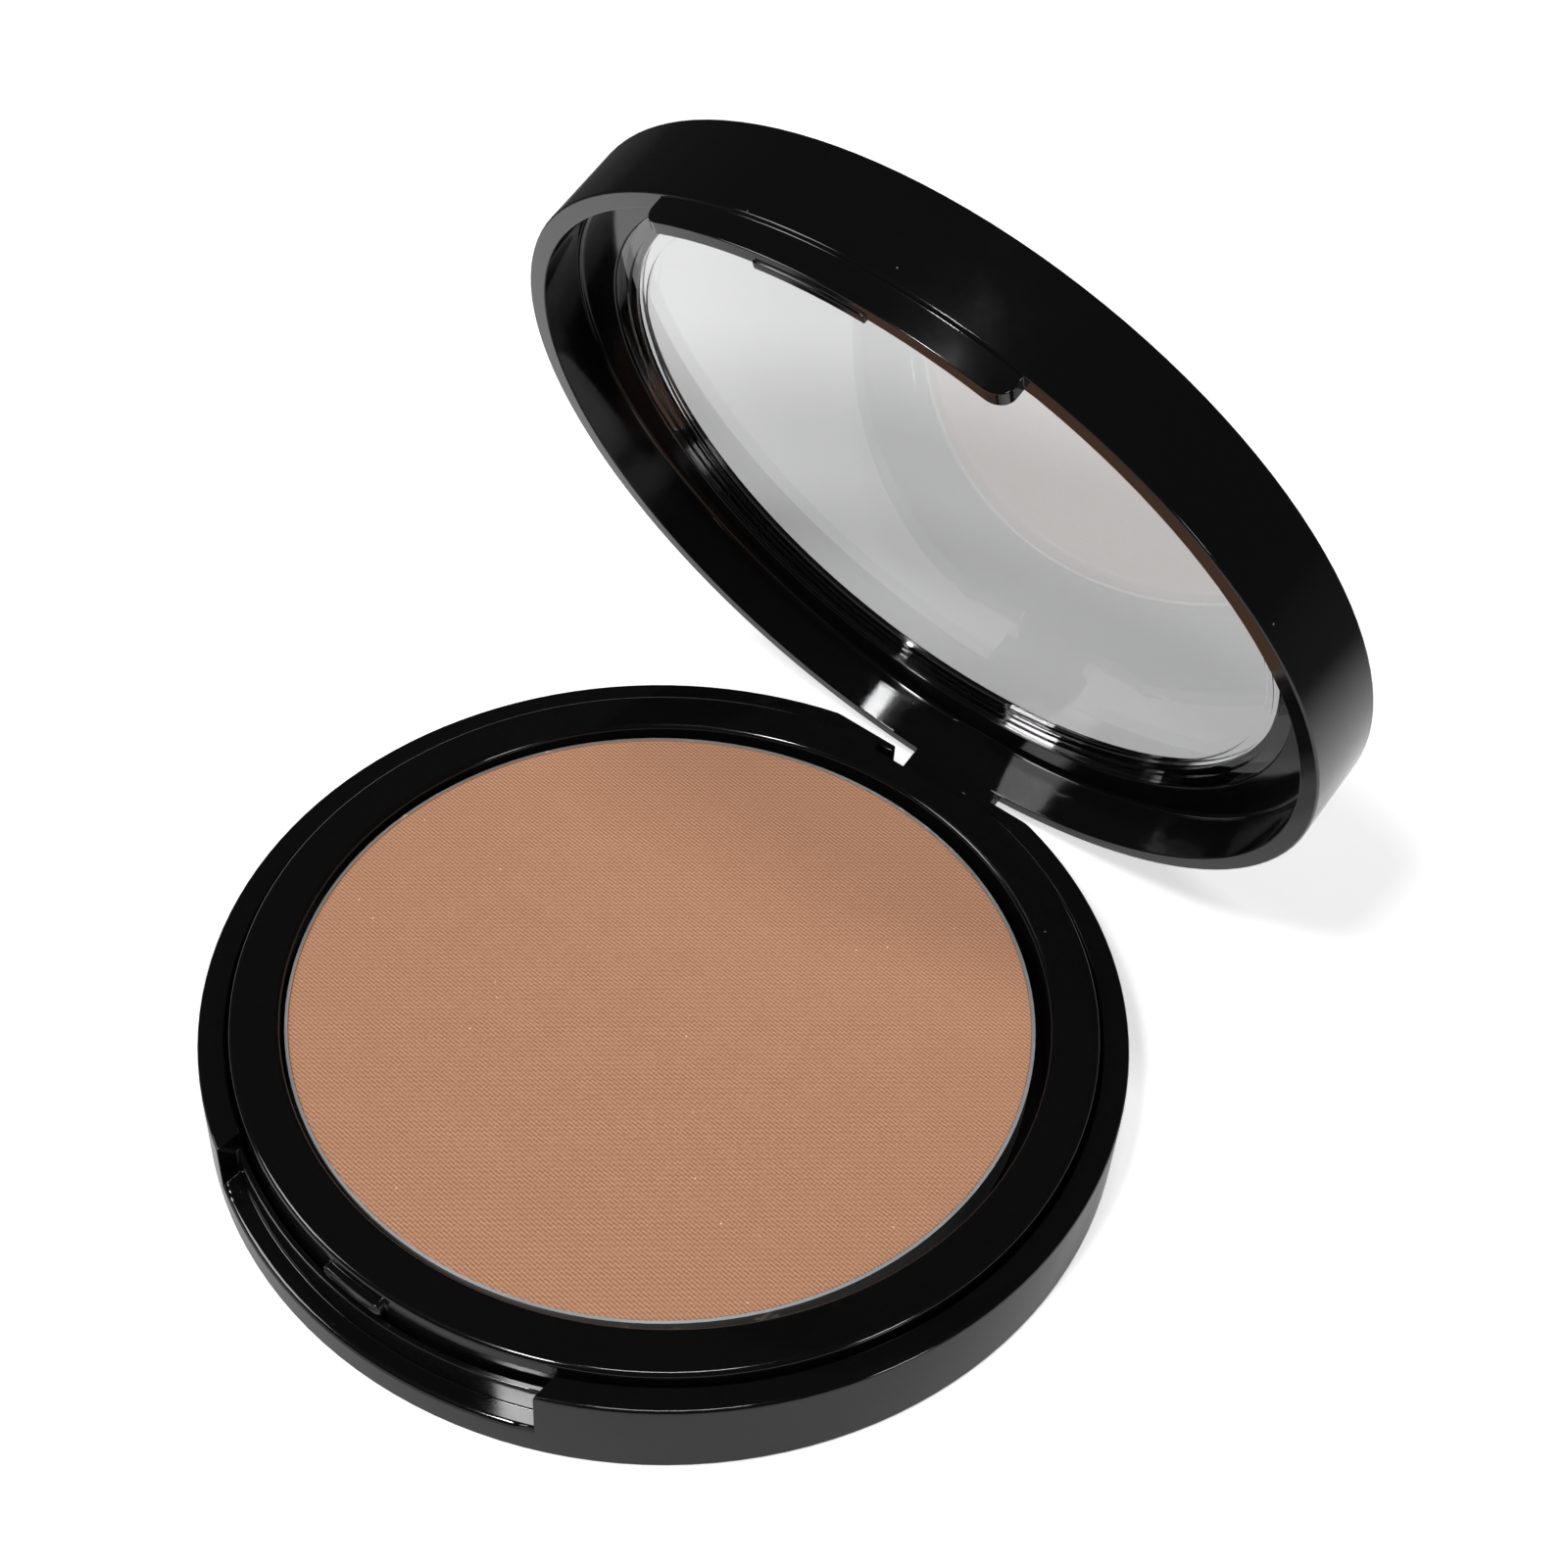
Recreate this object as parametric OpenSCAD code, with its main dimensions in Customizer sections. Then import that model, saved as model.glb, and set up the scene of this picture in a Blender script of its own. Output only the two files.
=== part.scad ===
// Round powder compact: a black snap case with a clear lid window and one pressed powder pan.
// Origin: centre of the resting face. +Z up, +Y towards the hinge, -Y towards the opening notch.
// The lid is drawn in its closed place and then swung open about the hinge pin.

/* [Case] */
// Outer radius of the base
body_r = 37.5; // [35:0.5:45]
// Height of the base up to the ledge that the lid closes onto
base_h = 7.6; // [7.2:0.1:9]
// Thickness of the base floor
floor_t = 1.2; // [1:0.1:1.5]
// Radial width of the base wall
wall_t = 2.1; // [2:0.05:2.4]
// Rounding of the outside edges
edge_r = 0.45; // [0.3:0.05:0.8]

/* [Lid] */
// Outer radius of the lid
lid_r = 37.8; // [35.2:0.1:45.2]
// Height of the lid wall
lid_h = 7.75; // [7.4:0.05:9]
// Radial width of the lid wall
lid_wall = 1.6; // [1.4:0.1:1.8]
// Gap between the closed lid and the ledge
lid_gap = 0.15; // [0.1:0.05:0.3]
// Angle that the lid stands open
lid_open = 69; // [0:1:85]

/* [Window] */
// Radius of the clear part of the window
window_r = 30; // [26:0.5:31]
// Radius of the window's seat flange
window_seat_r = 32.6; // [31:0.1:33]

/* [Powder] */
// Outside radius of the aluminium pan
pan_r = 30.25; // [29:0.05:30.6]
// Depth of the aluminium pan
pan_h = 4; // [3:0.1:4.5]
// Sheet thickness of the pan
pan_t = 0.25; // [0.2:0.05:0.5]

/* [Opening notch] */
// Half width of the notch in the base
notch_half = 16.3; // [12:0.1:18]
// Height of the notch floor
notch_floor = 3.1; // [2:0.1:4]
// Half width of the lid tongue
tongue_half = 15.4; // [11:0.1:17]
// How far the tongue reaches below the lid rim
tongue_drop = 2.4; // [2:0.1:4]

/* [Hinge] */
// Distance of the pin from the centre of the case
hinge_y = 35.2; // [34.8:0.1:35.4]
// Height of the pin above the resting face
hinge_z = 2.35; // [2.2:0.05:2.6]
// Radius of the hinge pin
pin_r = 0.6; // [0.5:0.05:0.7]
// Half width of the lid's hinge lug
lug_half = 4.5; // [4:0.1:6]
// Half width of the lug's arm where it enters the slot in the base
arm_half = 3.5; // [2.5:0.1:4]

/* [Hidden] */
$fn = 128;
eps = 0.01;

// Base
wall_in = body_r - wall_t;
flat_y = 36.2;               // flat back behind the hinge
flat_top_y = 35.9;           // the same flat above the cheeks, where the lug closes behind it
boss_half = 9.8;             // half width of the cheeks
boss_front = 33.3;           // front of the thick cheeks that carry the pin
boss_top = 4.2;
slot_half = arm_half + 0.4;
slot_floor = 0.4;
web_r = 35.9;                // thin inner wall left standing in the notch
web_top = 5.8;
label_r = 30.5;
label_t = 0.15;
label_recess = 0.3;

// Pan holder
holder_r = wall_in - 0.35;
holder_top = base_h + 0.9;
lip_r = 31;
skirt_t = 1;
deck_t = 1.2;                // thickness of its top ring
cut_y = 33.6;               // front of the straight cut in that ring before the hinge
seat_z = 3.5;                // top of the shelf under the pan
seat_t = 1;
glue_t = 0.25;
glue_r = 27;
pan_z = seat_z + glue_t;
pan_off = [-0.3, -0.3, 0];   // the pan is glued in slightly off centre
cake_crown = 0.12;
bump_half = 2.95;            // catch bump on the front of the holder
bump_z = 6.9;
bump_h = 1.2;
bump_out = 0.65;

// Lid, in its closed place
lid_z = base_h + lid_gap;
lid_top = lid_z + lid_h;
lid_in = lid_r - lid_wall;
plate_z = lid_z + 4.6;       // underside of the lid's top ring
seat_top = plate_z + 1.85;   // shelf that the window flange sits against
window_out = lid_top - 0.4;  // outer face of the window
boss_clear = 0.05;
rabbet_r = window_r + 1;     // opening in the lid's top ring
window_in = plate_z + 0.95;  // inner face of the clear part
step_z = plate_z + 0.2;      // lowest ring of the window flange
tongue_out = lid_r - 0.3;
tongue_in = 36.3;
tongue_z = lid_z - tongue_drop;
rib_half = 4.7;
rib_in = 35.98;
rib_h = 0.9;
lug_in = flat_top_y + 0.1;
knuckle_r = 1.45;
pin_x0 = -11.6;
pin_x1 = 12.3;

// Points of an arc about c, radius r, from angle a0 to a1
function arc(c, r, a0, a1, n = 5) =
    [for (i = [0:n]) let (a = a0 + (a1 - a0) * i / n) c + r * [cos(a), sin(a)]];

// Round bar along X through the hinge axis
module hinge_bar(r, x0, x1) {
    translate([x0, hinge_y, hinge_z]) rotate([0, 90, 0]) cylinder(r = r, h = x1 - x0);
}

// Block from corner a to corner b
module block(a, b) {
    translate(a) cube(b - a);
}

// Swings the closed lid open about the hinge pin
module opened() {
    translate([0, hinge_y, hinge_z]) rotate([-lid_open, 0, 0]) translate([0, -hinge_y, -hinge_z])
        children();
}

// Section of the base: floor, wall and the ledge that the lid closes onto
module base_section() {
    polygon(concat(
        [[0, label_recess], [label_r + 0.3, label_recess], [label_r + 0.3, 0]],
        arc([body_r - edge_r, edge_r], edge_r, -90, 0),
        arc([body_r - 0.3, base_h - 0.3], 0.3, 0, 90, 3),
        [[wall_in, base_h], [wall_in, floor_t], [0, floor_t]]));
}

// Cut that opens the front of the base wall for the tongue and a fingertip
module notch_cut() {
    difference() {
        block([-notch_half, -body_r - 1, notch_floor], [notch_half, -20, base_h + 1]);
        translate([0, 0, -1]) cylinder(r = web_r, h = web_top + 1);
    }
}

// Slot for the lug and its knuckle, open to the back and to the top
module hinge_slot() {
    block([-slot_half, boss_front, slot_floor], [slot_half, body_r + 2, boss_top + 0.3]);
    difference() {
        block([-slot_half, boss_front, slot_floor], [slot_half, body_r + 2, base_h + 1]);
        translate([0, 0, boss_top]) cylinder(r = wall_in, h = base_h);
    }
}

module base_shell() {
    color([0.02, 0.02, 0.022]) difference() {
        union() {
            rotate_extrude() base_section();
            // Cheeks on both sides of the slot carry the pin
            for (side = [-1, 1]) translate([side * (slot_half + boss_half) / 2, 0, 0])
                block([-(boss_half - slot_half) / 2, boss_front, floor_t - 0.5],
                      [(boss_half - slot_half) / 2, flat_y, boss_top]);
        }
        notch_cut();
        hinge_slot();
        block([-body_r, flat_y, -1], [body_r, body_r + 2, base_h + 1]);
        block([-body_r, flat_top_y, boss_top], [body_r, body_r + 2, base_h + 1]);
        hinge_bar(pin_r + 0.02, pin_x0 - 0.05, body_r);
    }
}

// Section of the holder: outer skirt, top ring, pan well and the shelf under the pan
module holder_section() {
    polygon(concat(
        [[0, seat_z - seat_t], [lip_r + skirt_t, seat_z - seat_t],
         [lip_r + skirt_t, holder_top - deck_t],
         [holder_r - skirt_t, holder_top - deck_t], [holder_r - skirt_t, floor_t],
         [holder_r, floor_t]],
        arc([holder_r - 0.45, holder_top - 0.45], 0.45, 0, 90, 4),
        arc([lip_r + 0.45, holder_top - 0.45], 0.45, 90, 180, 4),
        [[lip_r, seat_z], [0, seat_z]]));
}

// Long rounded catch that the tongue's rib snaps under
module catch_bump() {
    intersection() {
        translate([0, -holder_r + 0.5, bump_z]) rotate([90, 0, 0]) linear_extrude(2) union() {
            square([2 * bump_half - bump_h, bump_h], center = true);
            for (side = [-1, 1]) translate([side * (bump_half - bump_h / 2), 0])
                circle(d = bump_h);
        }
        translate([0, 0, bump_z - bump_h]) cylinder(r = holder_r + bump_out, h = 2 * bump_h);
    }
}

module pan_holder() {
    color([0.025, 0.025, 0.027]) {
        difference() {
            rotate_extrude() holder_section();
            // Room for the cheeks and the knuckle below the skirt
            block([-boss_half - 0.8, boss_front - 0.4, floor_t - 0.5],
                  [boss_half + 0.8, body_r, boss_top + 0.2]);
            // Straight cut through the top ring in front of the lug
            block([-lug_half - 0.2, cut_y, floor_t - 0.5], [lug_half + 0.2, body_r, holder_top + 1]);
        }
        catch_bump();
    }
}

module powder_pan() {
    color([0.78, 0.78, 0.8]) translate(pan_off) rotate_extrude() polygon(concat(
        [[0, pan_z]],
        arc([pan_r - 0.5, pan_z + 0.5], 0.5, -90, 0, 4),
        [[pan_r, pan_z + pan_h], [pan_r - pan_t, pan_z + pan_h]],
        arc([pan_r - 0.5, pan_z + 0.5], 0.5 - pan_t, 0, -90, 4),
        [[0, pan_z + pan_t]]));
}

// Pressed cake with a slightly crowned face
module pressed_powder() {
    cake_r = pan_r - pan_t - eps;
    face_z = pan_z + pan_h - 0.05;
    color([0.71, 0.525, 0.42]) translate(pan_off) rotate_extrude() polygon(concat(
        [[0, pan_z + pan_t + eps], [cake_r - 0.5, pan_z + pan_t + eps],
         [cake_r, pan_z + pan_t + 0.5], [cake_r, face_z - 0.1]],
        [for (i = [0:10]) let (r = (cake_r - 0.1) * (1 - i / 10))
            [r, face_z + cake_crown * (1 - pow(r / cake_r, 2))]]));
}

module pan_adhesive() {
    color([0.92, 0.9, 0.84]) translate([pan_off[0], pan_off[1], seat_z]) cylinder(r = glue_r, h = glue_t);
}

module base_label() {
    color([0.93, 0.93, 0.92]) translate([0, 0, label_recess - label_t])
        cylinder(r = label_r, h = label_t);
}

module hinge_pin() {
    color([0.62, 0.62, 0.64]) hinge_bar(pin_r, pin_x0, pin_x1);
}

// Section of the lid: wall, top ring and the rabbet that holds the window
module lid_section() {
    polygon(concat(
        [[lid_in, lid_z]],
        arc([lid_r - 0.2, lid_z + 0.2], 0.2, -90, 0, 2),
        arc([lid_r - edge_r, lid_top - edge_r], edge_r, 0, 90),
        [[rabbet_r, lid_top], [rabbet_r, seat_top],
         [window_seat_r + boss_clear, seat_top], [window_seat_r + boss_clear, plate_z]],
        arc([lid_in - 0.5, plate_z - 0.5], 0.5, 90, 0, 4)));
}

// Tongue with round lower corners that closes into the notch
module lid_tongue() {
    corner = 1.5;
    intersection() {
        difference() {
            translate([0, 0, tongue_z]) cylinder(r = tongue_out, h = tongue_drop + 0.5);
            translate([0, 0, tongue_z - 1]) cylinder(r = tongue_in, h = tongue_drop + 3);
        }
        translate([0, -30, 0]) rotate([90, 0, 0]) linear_extrude(20) union() {
            translate([-tongue_half, tongue_z + corner])
                square([2 * tongue_half, tongue_drop + 2]);
            translate([corner - tongue_half, tongue_z])
                square([2 * (tongue_half - corner), tongue_drop]);
            for (side = [-1, 1]) translate([side * (tongue_half - corner), tongue_z + corner])
                circle(r = corner);
        }
    }
    // Catch rib along the inside of the lower edge
    difference() {
        intersection() {
            translate([0, 0, tongue_z - 0.2]) cylinder(r = tongue_in + 0.4, h = rib_h);
            block([-rib_half, -body_r - 1, tongue_z - 1], [rib_half, -20, tongue_z + 2]);
        }
        translate([0, 0, tongue_z - 1]) cylinder(r = rib_in, h = 4);
    }
}

// Lug that reaches from the lid's back wall down to the pin
module lid_lug() {
    difference() {
        union() {
            intersection() {
                rotate([90, 0, 90]) translate([0, 0, -lug_half]) linear_extrude(2 * lug_half)
                    polygon([[lug_in, plate_z + 0.2], [lid_in + 0.4, plate_z + 0.2],
                             [lid_r, lid_z + 0.5], [lid_r, lid_z],
                             [hinge_y + 1.4, hinge_z], [hinge_y, hinge_z],
                             [hinge_y, hinge_z + 1], [lug_in, hinge_z + 2]]);
                translate([0, 0, -1]) cylinder(r = lid_r - 0.1, h = lid_top);
                // Only the arm goes down between the cheeks
                union() {
                    block([-arm_half, 30, 0], [arm_half, lid_r, lid_top]);
                    block([-lug_half, 30, boss_top + 0.2], [lug_half, lid_r, lid_top]);
                }
            }
            hinge_bar(knuckle_r, -arm_half, arm_half);
        }
        hinge_bar(pin_r + 0.05, -arm_half - 1, arm_half + 1);
    }
}

module lid_frame() {
    color([0.02, 0.02, 0.022]) opened() {
        rotate_extrude() lid_section();
        lid_tongue();
        lid_lug();
    }
}

// Clear disc: raised centre that fills the opening, stepped rings on the inside of its edge
module lid_window() {
    steps = 3;
    rise = (window_in - step_z) / steps;
    tread = (window_seat_r - 0.4 - window_r) / steps;
    color([0.85, 0.87, 0.88, 0.35]) opened() rotate_extrude() polygon(concat(
        [[0, window_in]],
        [for (i = [0:steps - 1], k = [0:1])
            [window_r + i * tread, window_in - (i + k) * rise]],
        [[window_seat_r, step_z], [window_seat_r, seat_top - eps],
         [rabbet_r - boss_clear, seat_top - eps], [rabbet_r - boss_clear, window_out],
         [0, window_out]]));
}

base_shell();
pan_holder();
powder_pan();
pressed_powder();
pan_adhesive();
base_label();
hinge_pin();
lid_frame();
lid_window();
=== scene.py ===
"""Looks of a round powder compact: gloss black case, clear lid window, pressed powder pan."""
import math

import bmesh
import bpy
from mathutils import Matrix, Vector


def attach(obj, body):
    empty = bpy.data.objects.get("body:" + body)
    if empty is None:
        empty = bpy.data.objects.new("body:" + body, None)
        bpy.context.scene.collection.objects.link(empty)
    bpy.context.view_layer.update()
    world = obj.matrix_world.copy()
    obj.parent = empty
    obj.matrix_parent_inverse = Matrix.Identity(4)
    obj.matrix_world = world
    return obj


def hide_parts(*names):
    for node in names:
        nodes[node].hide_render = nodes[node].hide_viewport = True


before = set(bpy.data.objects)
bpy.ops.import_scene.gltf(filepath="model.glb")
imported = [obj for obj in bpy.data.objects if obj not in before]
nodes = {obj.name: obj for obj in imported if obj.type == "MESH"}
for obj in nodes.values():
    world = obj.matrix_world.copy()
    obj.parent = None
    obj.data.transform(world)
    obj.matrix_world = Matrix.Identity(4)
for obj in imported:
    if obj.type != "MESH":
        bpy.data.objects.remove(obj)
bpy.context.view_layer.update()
MM = 0.001


# ---------------------------------------------------------------- camera
def unit(azimuth, elevation):
    a, e = math.radians(azimuth), math.radians(elevation)
    return Vector((math.sin(a) * math.cos(e), -math.cos(a) * math.cos(e), math.sin(e)))


def add_camera(azimuth=35.78, elevation=45.53, roll=4.24, distance=0.2062, lens=56.94,
               aim=(-0.00314, 0.01811, 0.01683)):
    back = unit(azimuth, elevation)
    side = Vector((math.cos(math.radians(azimuth)), math.sin(math.radians(azimuth)), 0))
    up = back.cross(side)
    r = math.radians(roll)
    x_axis = side * math.cos(r) + up * math.sin(r)
    y_axis = up * math.cos(r) - side * math.sin(r)
    cam = bpy.data.objects.new("camera", bpy.data.cameras.new("camera"))
    cam.data.sensor_width = 36
    cam.data.lens = lens
    cam.data.clip_start, cam.data.clip_end = 0.005, 10
    place = Matrix((x_axis, y_axis, back)).transposed().to_4x4()
    place.translation = Vector(aim) + back * distance
    cam.matrix_world = place
    bpy.context.scene.collection.objects.link(cam)
    bpy.context.scene.camera = cam
    return cam


camera = add_camera()


# ---------------------------------------------------------------- node helpers
class Nodes:
    """Short way to build a node tree round one Principled shader."""

    def __init__(self, name, **values):
        self.mat = bpy.data.materials.new(name)
        self.mat.use_nodes = True
        self.tree = self.mat.node_tree
        self.bsdf = self.tree.nodes["Principled BSDF"]
        for k, v in values.items():
            self.bsdf.inputs[k.replace("_", " ")].default_value = v
        self.object_co = self.add("ShaderNodeTexCoord").outputs["Object"]

    def add(self, kind, **values):
        n = self.tree.nodes.new(kind)
        for k, v in values.items():
            if k in n.inputs:
                n.inputs[k].default_value = v
            else:
                setattr(n, k, v)
        return n

    def link(self, a, b):
        self.tree.links.new(a, b)

    def wire(self, value, socket):
        if hasattr(value, "is_linked"):
            self.link(value, socket)
        else:
            socket.default_value = value

    def math(self, op, a, b=0.0, c=0.0):
        n = self.add("ShaderNodeMath", operation=op)
        for i, v in enumerate((a, b, c)):
            if i < len(n.inputs):
                self.wire(v, n.inputs[i])
        return n.outputs[0]

    def ramp(self, value, low, high, to_low=0.0, to_high=1.0):
        n = self.add("ShaderNodeMapRange", interpolation_type="SMOOTHSTEP")
        for key, v in (("Value", value), ("From Min", low), ("From Max", high),
                       ("To Min", to_low), ("To Max", to_high)):
            self.wire(v, n.inputs[key])
        return n.outputs["Result"]

    def noise(self, scale, detail=3.0, rough=0.5, stretch=None):
        n = self.add("ShaderNodeTexNoise", Scale=scale, Detail=detail, Roughness=rough)
        co = self.object_co
        if stretch:
            m = self.add("ShaderNodeMapping")
            m.inputs["Scale"].default_value = stretch
            self.link(co, m.inputs["Vector"])
            co = m.outputs["Vector"]
        self.link(co, n.inputs["Vector"])
        return n.outputs["Fac"]

    def specks(self, scale, size, share):
        """Small round dots, one in each of a share of the cells."""
        v = self.add("ShaderNodeTexVoronoi", Scale=scale, Randomness=1.0)
        self.link(self.object_co, v.inputs["Vector"])
        dot = self.ramp(v.outputs["Distance"], size, size * 0.4)
        pick = self.add("ShaderNodeSeparateColor")
        self.link(v.outputs["Color"], pick.inputs["Color"])
        return self.math("MULTIPLY", dot, self.math("LESS_THAN", pick.outputs["Red"], share))

    def mix(self, fac, a, b):
        n = self.add("ShaderNodeMix", data_type="RGBA")
        self.wire(fac, n.inputs["Factor"])
        for key, v in (("A", a), ("B", b)):
            sock = [i for i in n.inputs if i.name == key and i.type == "RGBA"][0]
            self.wire((*v, 1) if isinstance(v, tuple) else v, sock)
        return [o for o in n.outputs if o.type == "RGBA"][0]

    def bump(self, height, distance, strength=1.0, base=None):
        n = self.add("ShaderNodeBump", Distance=distance, Strength=strength)
        self.link(height, n.inputs["Height"])
        if base:
            self.link(base, n.inputs["Normal"])
        return n.outputs["Normal"]

    def out(self, key, value):
        self.wire(value, self.bsdf.inputs[key])


def black_plastic(name, rough=0.07, dust=0.10):
    """Polished black moulding with wiped smudges, fine hair marks and a little dust."""
    m = Nodes(name, IOR=1.5)
    smudge = m.noise(110.0, 5.0, 0.6)
    hair = m.noise(900.0, 2.0, 0.5, (1.0, 9.0, 1.0))
    speck = m.specks(420.0, 0.045, dust)
    m.out("Base Color", m.mix(speck, (0.0035, 0.0035, 0.0038), (0.16, 0.155, 0.15)))
    gloss = m.math("ADD", m.ramp(smudge, 0.3, 0.75, rough * 0.6, rough * 1.7),
                   m.math("MULTIPLY", hair, rough * 0.4))
    m.out("Roughness", m.math("MAXIMUM", gloss, m.math("MULTIPLY", speck, 0.6)))
    skin = m.bump(m.noise(260.0, 2.0), 0.00002, 0.25)
    m.out("Normal", m.bump(m.noise(2600.0, 2.0), 0.000002, 0.05, skin))
    return m.mat


def clear_plastic(name):
    """Clear window with a slight smoke tint, faint haze and a few dust specks."""
    m = Nodes(name, IOR=1.42, Transmission_Weight=1.0)
    haze = m.noise(60.0, 4.0, 0.6)
    speck = m.specks(260.0, 0.03, 0.12)
    m.out("Base Color", m.mix(speck, (0.68, 0.682, 0.685), (0.42, 0.42, 0.42)))
    m.out("Roughness", m.ramp(haze, 0.35, 0.8, 0.0, 0.05))
    m.out("Normal", m.bump(m.noise(45.0, 1.0), 0.0001, 0.06))
    return m.mat


def pressed_powder(name):
    """Matte cake pressed through twill cloth: three sets of threads, grain, and sparse shimmer specks
    painted as glints. The hollows of threads and grain are painted in a deeper tone, a painted shade.
    """
    m = Nodes(name, IOR=1.4, Sheen_Weight=0.06, Sheen_Roughness=0.5)
    xyz = m.add("ShaderNodeSeparateXYZ")
    m.link(m.object_co, xyz.inputs["Vector"])
    wobble = m.math("MULTIPLY", m.noise(900.0, 2.0), 0.00009)
    x = m.math("ADD", xyz.outputs["X"], wobble)
    y = m.math("ADD", xyz.outputs["Y"], wobble)

    def threads(per_mm_x, per_mm_y, share):
        turn = 2 * math.pi / MM
        phase = m.math("MULTIPLY_ADD", x, per_mm_x * turn, m.math("MULTIPLY", y, per_mm_y * turn))
        return m.math("MULTIPLY", m.math("SINE", phase), share)

    warp, weft, twill = threads(0.20, 3.45, 0.42), threads(2.95, 0.35, 0.13), threads(1.38, -1.55, 0.12)
    cloth = m.math("ADD", m.math("ADD", warp, weft), twill)
    grain = m.noise(7000.0, 2.0, 0.7)
    depth = m.math("MULTIPLY", cloth, m.ramp(m.noise(1500.0, 2.0), 0.25, 0.75, 0.45, 1.3))
    height = m.math("MULTIPLY_ADD", m.math("SUBTRACT", grain, 0.5), 1.0, m.math("ADD", depth, 0.5))
    mottle = m.noise(260.0, 3.0, 0.6)
    # Painted shade: hollows of the threads and grain get the deeper tone and crests the lighter tone;
    # the mottle shifts both at random.
    light = m.mix(m.ramp(mottle, 0.3, 0.7), (0.650, 0.342, 0.203), (0.636, 0.330, 0.194))
    hollow_shade_tone = m.mix(m.ramp(mottle, 0.3, 0.7), (0.365, 0.175, 0.101), (0.355, 0.169, 0.097))
    color = m.mix(m.ramp(height, 0.0, 1.0), hollow_shade_tone, light)
    # Pale specks: shimmer flakes in the cake, with their sparkle painted into the base colour as
    # painted glints.
    painted_glint_specks = m.specks(1700.0, 0.17, 0.016)
    m.out("Base Color", m.mix(painted_glint_specks, color, (0.93, 0.80, 0.68)))
    m.out("Roughness", m.ramp(height, 0.0, 1.0, 0.95, 0.8))
    soft = m.bump(mottle, 0.00003, 0.08)
    m.out("Normal", m.bump(height, 0.00003, 0.35, soft))
    return m.mat


def pan_metal(name):
    """Drawn aluminium: fine rings round the wall, a little powder caught on the brim."""
    m = Nodes(name)
    m.out("Metallic", 1.0)
    rings = m.noise(700.0, 3.0, 0.6, (0.05, 0.05, 6.0))
    dust = m.ramp(m.noise(650.0, 4.0, 0.7), 0.60, 0.72, 0.0, 0.75)
    m.out("Base Color", m.mix(dust, m.mix(rings, (0.78, 0.78, 0.79), (0.92, 0.92, 0.93)),
                              (0.46, 0.24, 0.15)))
    m.out("Metallic", m.math("SUBTRACT", 1.0, dust))
    m.out("Roughness", m.math("ADD", m.ramp(rings, 0.2, 0.8, 0.45, 0.6), m.math("MULTIPLY", dust, 0.4)))
    m.out("Normal", m.bump(rings, 0.00001, 0.3))
    return m.mat


def drawn_wire(name):
    """Steel pin with drawing lines along its length."""
    m = Nodes(name)
    m.out("Metallic", 1.0)
    lines = m.noise(3000.0, 3.0, 0.6, (0.03, 1.0, 1.0))
    m.out("Base Color", m.mix(lines, (0.46, 0.46, 0.47), (0.66, 0.66, 0.67)))
    m.out("Roughness", m.ramp(lines, 0.2, 0.8, 0.18, 0.4))
    m.out("Normal", m.bump(lines, 0.00001, 0.3))
    return m.mat


def set_glue(name):
    """Cream hot-melt glue, lumpy and half glossy."""
    m = Nodes(name, IOR=1.48)
    lumps = m.noise(350.0, 3.0, 0.5)
    m.out("Base Color", m.mix(lumps, (0.80, 0.74, 0.60), (0.90, 0.86, 0.76)))
    m.out("Roughness", m.ramp(lumps, 0.3, 0.7, 0.3, 0.55))
    m.out("Normal", m.bump(lumps, 0.0001, 0.4))
    return m.mat


def label_paper(name, edge=0.0293, line=0.00025):
    """Coated paper with fine fibres and one thin printed ring near its edge."""
    m = Nodes(name, IOR=1.45)
    fibres = m.noise(2200.0, 4.0, 0.65, (1.0, 0.35, 1.0))
    cloud = m.noise(120.0, 3.0)
    length = m.add("ShaderNodeVectorMath", operation="LENGTH")
    flat = m.add("ShaderNodeVectorMath", operation="MULTIPLY")
    flat.inputs[1].default_value = (1, 1, 0)
    m.link(m.object_co, flat.inputs[0])
    m.link(flat.outputs["Vector"], length.inputs[0])
    off = m.math("ABSOLUTE", m.math("SUBTRACT", length.outputs["Value"], edge))
    ring = m.ramp(off, line, line * 0.6)
    paper = m.mix(fibres, (0.80, 0.80, 0.785), (0.88, 0.88, 0.87))
    paper = m.mix(m.ramp(cloud, 0.4, 0.8, 0.0, 0.25), paper, (0.76, 0.755, 0.73))
    m.out("Base Color", m.mix(ring, paper, (0.12, 0.12, 0.12)))
    m.out("Roughness", m.ramp(fibres, 0.2, 0.8, 0.5, 0.75))
    m.out("Normal", m.bump(fibres, 0.00002, 0.3))
    return m.mat


# ---------------------------------------------------------------- pieces
def finish_piece(name, me, body, mat, replaced):
    """Puts a finished mesh in the scene in place of one node."""
    piece = bpy.data.objects.new(name, me)
    bpy.context.scene.collection.objects.link(piece)
    me.materials.clear()
    me.materials.append(mat)
    for p in me.polygons:
        p.use_smooth = True
        p.material_index = 0
    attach(piece, body)
    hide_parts(replaced)
    return piece


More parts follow.
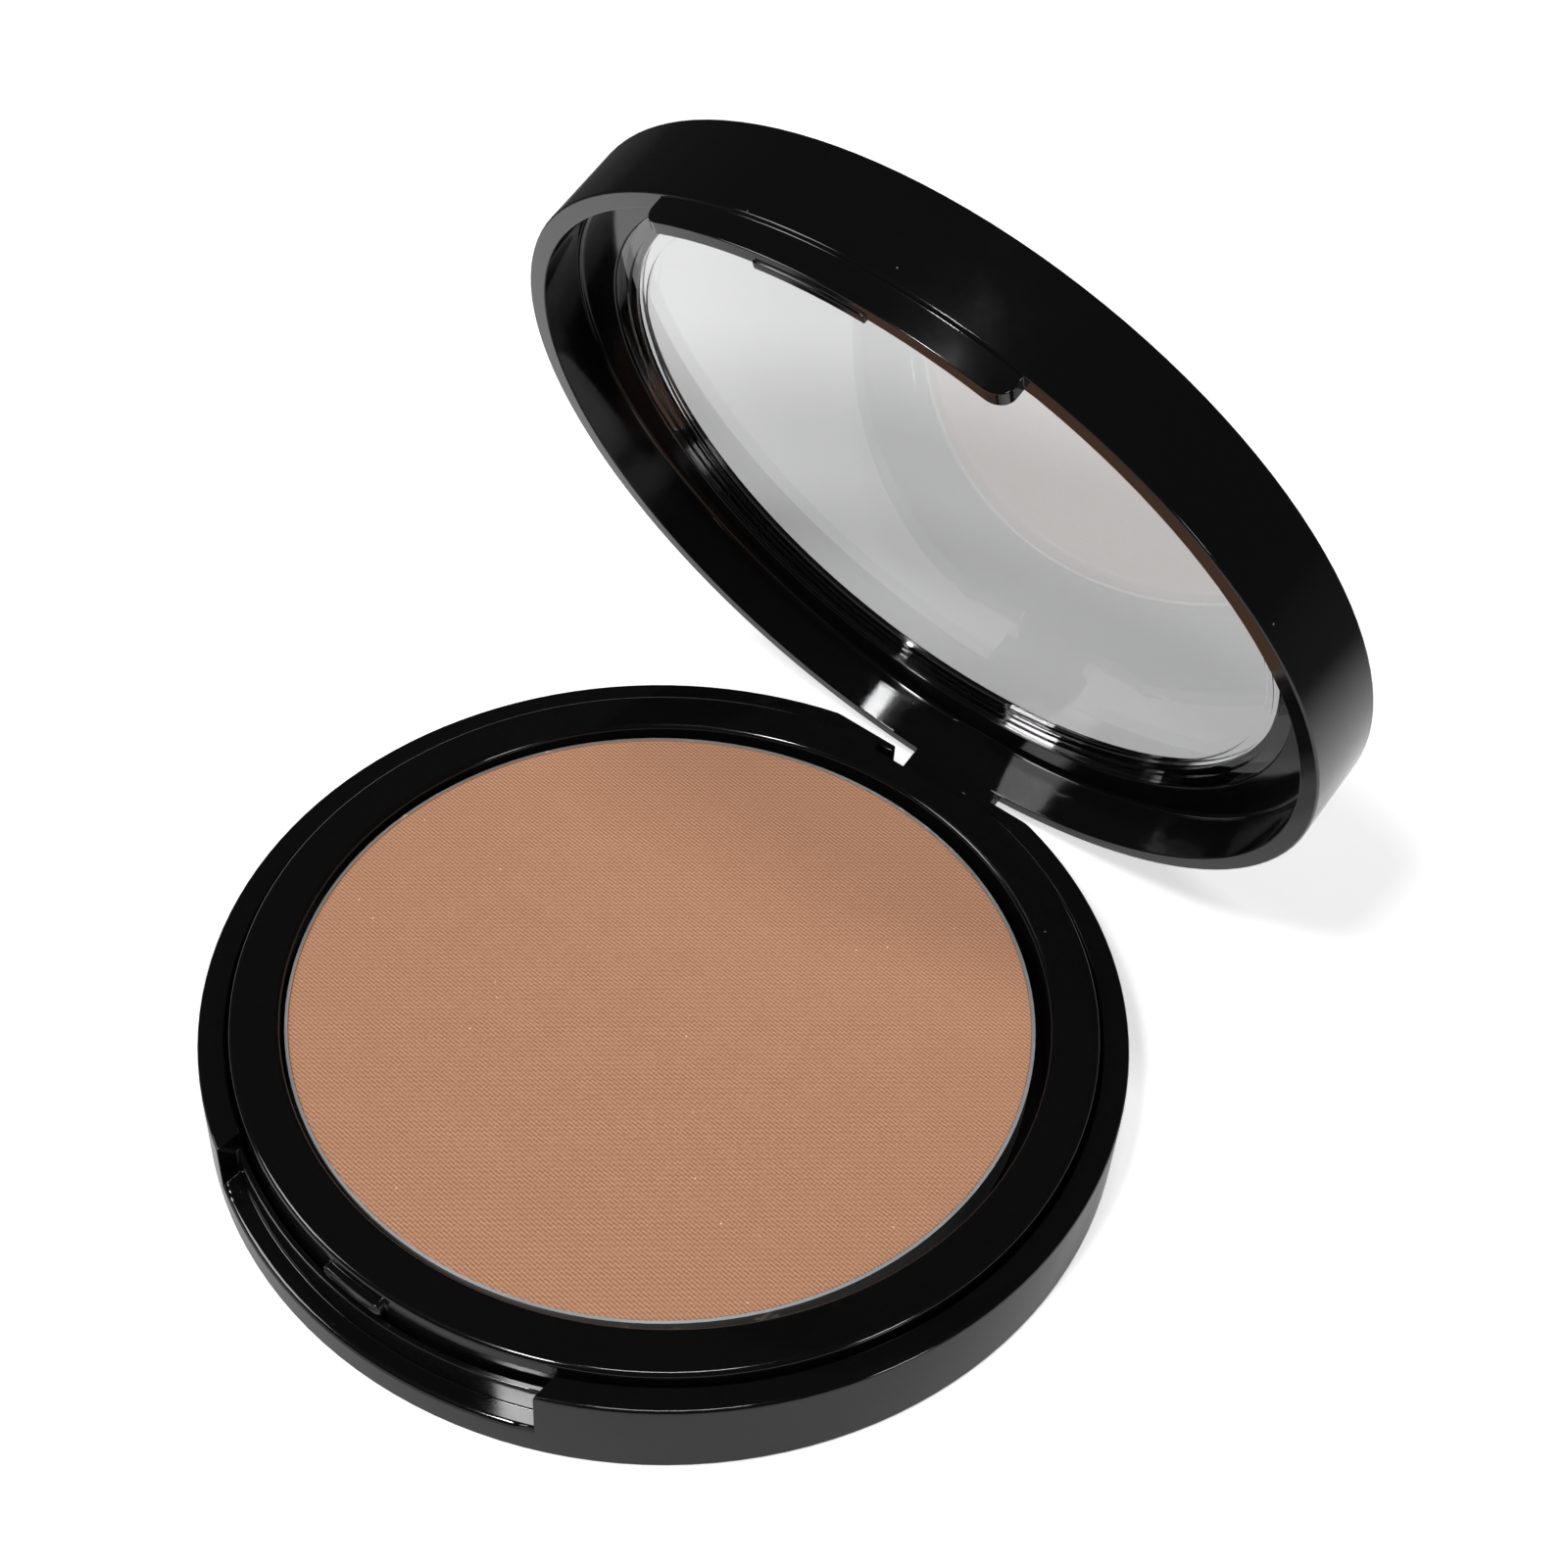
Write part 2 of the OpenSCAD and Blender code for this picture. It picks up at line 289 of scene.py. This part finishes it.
def moulded(name, node, body, mat, radius=0.10 * MM, broad=None, segments=3):
    """The node's own shape with the small edge rounding that a polished mould leaves.
    broad gives a larger radius for an edge from its middle point, or None."""
    corner = math.radians(35)
    crease = math.radians(50)
    widest = 0.5 * MM
    bm = bmesh.new()
    bm.from_mesh(nodes[node].data)
    bmesh.ops.remove_doubles(bm, verts=bm.verts, dist=1e-6)
    bmesh.ops.join_triangles(bm, faces=bm.faces, angle_face_threshold=math.radians(6),
                             angle_shape_threshold=math.radians(60))
    weight = bm.edges.layers.float.new("bevel_weight_edge")
    for e in bm.edges:
        if len(e.link_faces) == 2 and e.calc_face_angle() > corner:
            own = broad((e.verts[0].co + e.verts[1].co) / 2) if broad else None
            e[weight] = (own or radius) / widest
    me = bpy.data.meshes.new(name)
    bm.to_mesh(me)
    bm.free()
    if "custom_normal" in me.attributes:
        me.attributes.remove(me.attributes["custom_normal"])
    piece = finish_piece(name, me, body, mat, node)
    me.set_sharp_from_angle(angle=crease)
    edges = piece.modifiers.new("edges", "BEVEL")
    edges.width = widest
    edges.segments = segments
    edges.limit_method = "WEIGHT"
    edges.loop_slide = False
    edges.use_clamp_overlap = False
    normals = piece.modifiers.new("normals", "WEIGHTED_NORMAL")
    normals.keep_sharp = True
    return piece


def finger_edge(p, floor=3.1 * MM, outer=37.3 * MM, rounding=0.4 * MM):
    """The outer edge of the notch floor is rounder, where a fingertip goes in."""
    on_floor = abs(p.z - floor) < 0.05 * MM
    at_front = p.xy.length > outer and p.y < 0
    return rounding if on_floor and at_front else None


moulded("case_base", "base_shell", "base", black_plastic("case_black"),
        broad=finger_edge)
moulded("pan_collar", "pan_holder", "base", black_plastic("holder_black", 0.08))
moulded("lid_rim", "lid_frame", "lid", black_plastic("lid_black", 0.07, 0.05))


def give(node, mat):
    """Puts a material on a node that keeps its own shape."""
    o = nodes[node]
    for s in o.material_slots:
        s.material = mat
    if not o.material_slots:
        o.data.materials.append(mat)


give("lid_window", clear_plastic("window_clear"))
give("pressed_powder", pressed_powder("powder"))
give("powder_pan", pan_metal("pan_aluminium"))
give("pan_adhesive", set_glue("adhesive"))
give("base_label", label_paper("label"))
give("hinge_pin", drawn_wire("pin_steel"))


# ---------------------------------------------------------------- stage and light
def add_floor(size=1.5):
    """White table top with painted shade. In mirror reflections it is painted dim close under the case
    and far away, as if a lit table stood in an unlit room. Seen through the window, a ring of it is
    painted a little dim as painted shade."""
    me = bpy.data.meshes.new("floor")
    corners = [(-size, -size, 0), (size, -size, 0), (size, size, 0), (-size, size, 0)]
    me.from_pydata(corners, [], [(0, 1, 2, 3)])
    o = bpy.data.objects.new("floor", me)
    bpy.context.scene.collection.objects.link(o)
    m = Nodes("floor_white", Emission_Strength=0.62)
    flat = m.add("ShaderNodeVectorMath", operation="LENGTH")
    m.link(m.object_co, flat.inputs[0])
    away = flat.outputs["Value"]
    path = m.add("ShaderNodeLightPath")
    mirrored = m.math("MINIMUM", path.outputs["Glossy Depth"], 1.0)
    through = m.math("MULTIPLY", path.outputs["Is Transmission Ray"], m.math("SUBTRACT", 1.0, mirrored))
    # Painted shade: in mirror reflections the floor colour and its glow are painted dim near the case
    # and far away.
    shade = m.math("ADD", m.ramp(away, 0.040, 0.065, 0.60, 0.22), m.ramp(away, 0.08, 0.17, 0.0, 0.74))
    dim = m.math("MULTIPLY", shade, mirrored)
    # Painted shade: a ring of floor round the case, seen through the window, is painted a little dim in
    # colour and glow.
    window_shade_ring = m.math("ADD", m.ramp(away, 0.062, 0.075, 0.14, 0.36), m.ramp(away, 0.088, 0.11, 0.0, -0.26))
    dim = m.math("MULTIPLY_ADD", window_shade_ring, through, dim)
    tone = m.mix(m.noise(6.0), (0.82, 0.82, 0.82), (0.84, 0.84, 0.84))
    m.out("Base Color", m.mix(dim, tone, (0.0, 0.0, 0.0)))
    m.out("Emission Color", m.mix(dim, (1.0, 1.0, 1.0), (0.0, 0.0, 0.0)))
    m.out("Roughness", 0.9)
    me.materials.append(m.mat)
    return o


def add_world(pale=1.0, dim=0.03):
    """Dark room in reflections, pale where the camera looks past the table."""
    world = bpy.data.worlds.new("studio")
    world.use_nodes = True
    tree = world.node_tree
    path = tree.nodes.new("ShaderNodeLightPath")
    seen = tree.nodes.new("ShaderNodeMath")
    seen.operation = "MAXIMUM"
    tree.links.new(path.outputs["Is Camera Ray"], seen.inputs[0])
    tree.links.new(path.outputs["Is Transmission Ray"], seen.inputs[1])
    direct = tree.nodes.new("ShaderNodeMath")
    direct.operation = "SUBTRACT"
    direct.use_clamp = True
    tree.links.new(seen.outputs[0], direct.inputs[0])
    tree.links.new(path.outputs["Glossy Depth"], direct.inputs[1])
    level = tree.nodes.new("ShaderNodeMapRange")
    level.inputs["To Min"].default_value = dim
    level.inputs["To Max"].default_value = pale
    tree.links.new(direct.outputs[0], level.inputs["Value"])
    back = tree.nodes["Background"]
    back.inputs["Color"].default_value = (1, 1, 1, 1)
    tree.links.new(level.outputs["Result"], back.inputs["Strength"])
    bpy.context.scene.world = world


def add_area(name, where, size, radiance):
    """Softbox that faces the case, with its brightness given as radiance."""
    lamp = bpy.data.lights.new(name, "AREA")
    lamp.shape = "RECTANGLE"
    lamp.size, lamp.size_y = size
    lamp.energy = radiance * math.pi * size[0] * size[1]
    o = bpy.data.objects.new(name, lamp)
    o.location = where
    o.rotation_mode = "QUATERNION"
    o.rotation_quaternion = (-Vector(where)).to_track_quat("-Z", "Y")
    bpy.context.scene.collection.objects.link(o)
    return o


add_floor()
add_world()
add_area("top_box", (0.05, -0.045, 0.88), (0.21, 0.05), 48)
add_area("front_key", (0.024, -0.46, 0.77), (0.10, 0.10), 110)
add_area("right_box", (0.84, -0.05, 0.32), (0.16, 0.16), 15)
add_area("left_box", (-0.56, -0.43, 0.56), (0.30, 0.30), 9)
bpy.context.scene.view_settings.view_transform = "Standard"
bpy.context.scene.cycles.use_denoising = True
